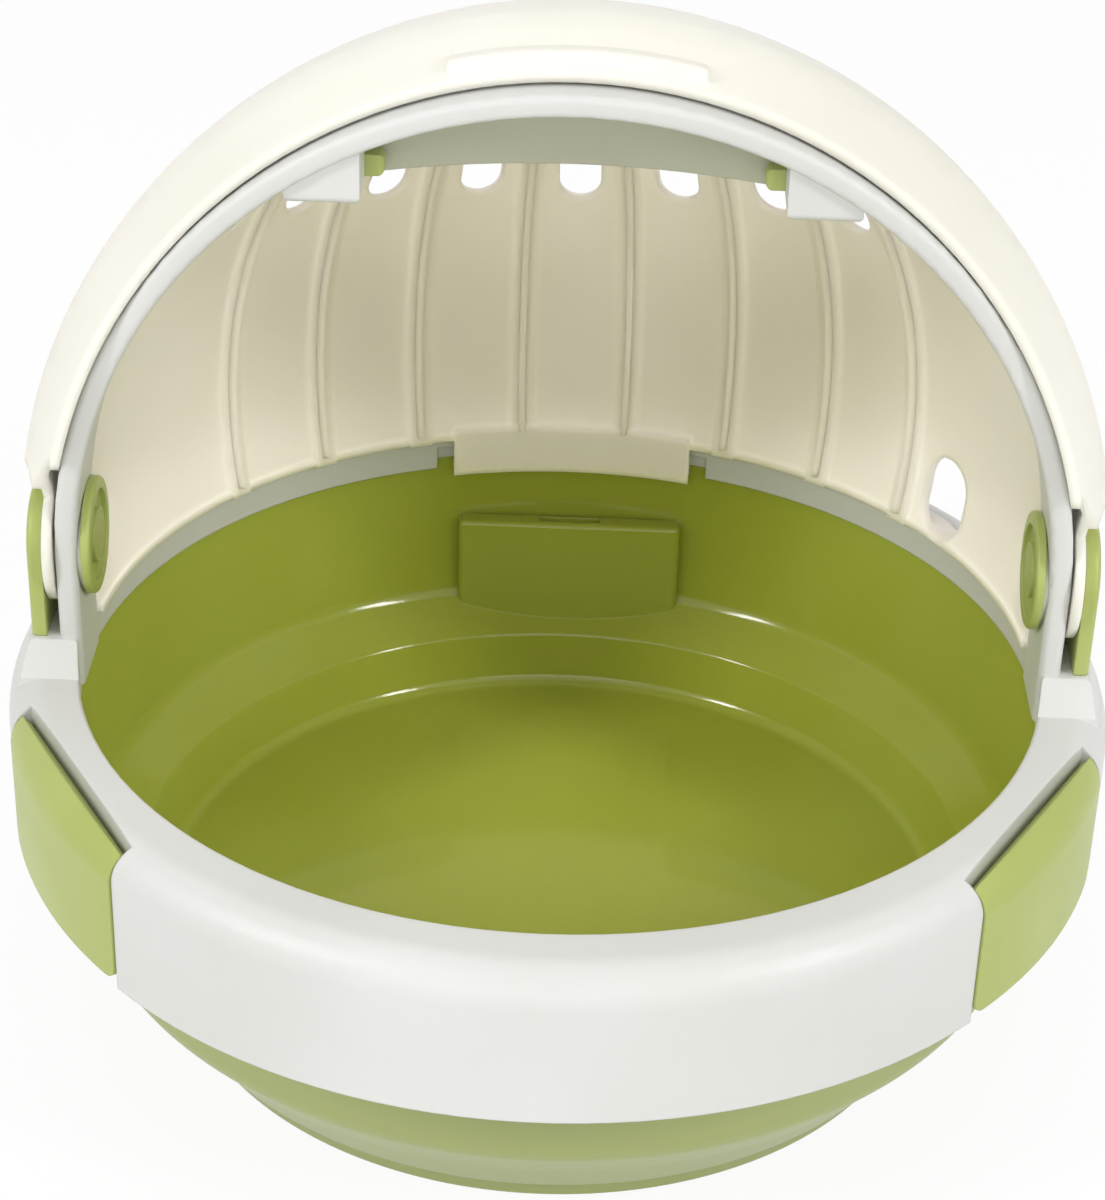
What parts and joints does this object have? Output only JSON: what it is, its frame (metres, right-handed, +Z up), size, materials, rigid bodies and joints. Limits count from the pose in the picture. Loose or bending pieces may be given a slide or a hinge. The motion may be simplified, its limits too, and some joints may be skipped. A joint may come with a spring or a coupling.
{
  "type": "small animal carrier",
  "caption": "Round bowl carrier for small animals with a carrying arch, a vented rear shell and a visor that folds back over it.",
  "frame": {"origin": "centre of the underside of the foot", "axes": "+Z up, the open front faces -Y, +X to the right seen from the front"},
  "size_m": [0.3, 0.3004, 0.2786],
  "materials": {
    "green_plastic": "satin",
    "white_plastic": "satin",
    "ivory_plastic": "satin, slightly translucent",
    "steel": "plain"
  },
  "bodies": {
    "carrier": {"bowl": "green_plastic", "pivot_cover_left": "green_plastic", "pivot_cover_right": "green_plastic", "pivot_knob_left": "green_plastic", "pivot_knob_right": "green_plastic", "carry_frame": "white_plastic", "rear_shell": "ivory_plastic", "finger_guard": "ivory_plastic", "clip_pin_front_left": "steel", "clip_pin_front_right": "steel", "clip_pin_rear": "steel", "pivot_pin_left": "green_plastic", "pivot_pin_right": "green_plastic"},
    "visor": {"visor": "ivory_plastic"},
    "clip_front_left": {"clip_front_left": "green_plastic"},
    "clip_front_right": {"clip_front_right": "green_plastic"},
    "clip_rear": {"clip_rear": "green_plastic"},
    "button_left": {"latch_button_left": "green_plastic"},
    "button_right": {"latch_button_right": "green_plastic"}
  },
  "joints": [
    {"name": "visor_swing", "type": "hinge", "parent": "carrier", "child": "visor", "pos_m": [0, 0, 0.1335], "axis": [1, 0, 0], "range_deg": [0, 97.3]},
    {"name": "clip_front_left_swing", "type": "hinge", "parent": "carrier", "child": "clip_front_left", "pos_m": [-0.12315, -0.0711, 0.096], "axis": [-0.5, 0.866, 0], "range_deg": [0, 35]},
    {"name": "clip_front_right_swing", "type": "hinge", "parent": "carrier", "child": "clip_front_right", "pos_m": [0.12315, -0.0711, 0.096], "axis": [-0.5, -0.866, 0], "range_deg": [0, 35]},
    {"name": "clip_rear_swing", "type": "hinge", "parent": "carrier", "child": "clip_rear", "pos_m": [0, 0.1422, 0.096], "axis": [1, 0, 0], "range_deg": [0, 35]},
    {"name": "button_left_press", "type": "slide", "parent": "carrier", "child": "button_left", "axis": [-1, 0, 0], "range_m": [0, 0.004], "stiffness_N_per_m": 250},
    {"name": "button_right_press", "type": "slide", "parent": "carrier", "child": "button_right", "axis": [1, 0, 0], "range_m": [0, 0.004], "stiffness_N_per_m": 250}
  ]
}
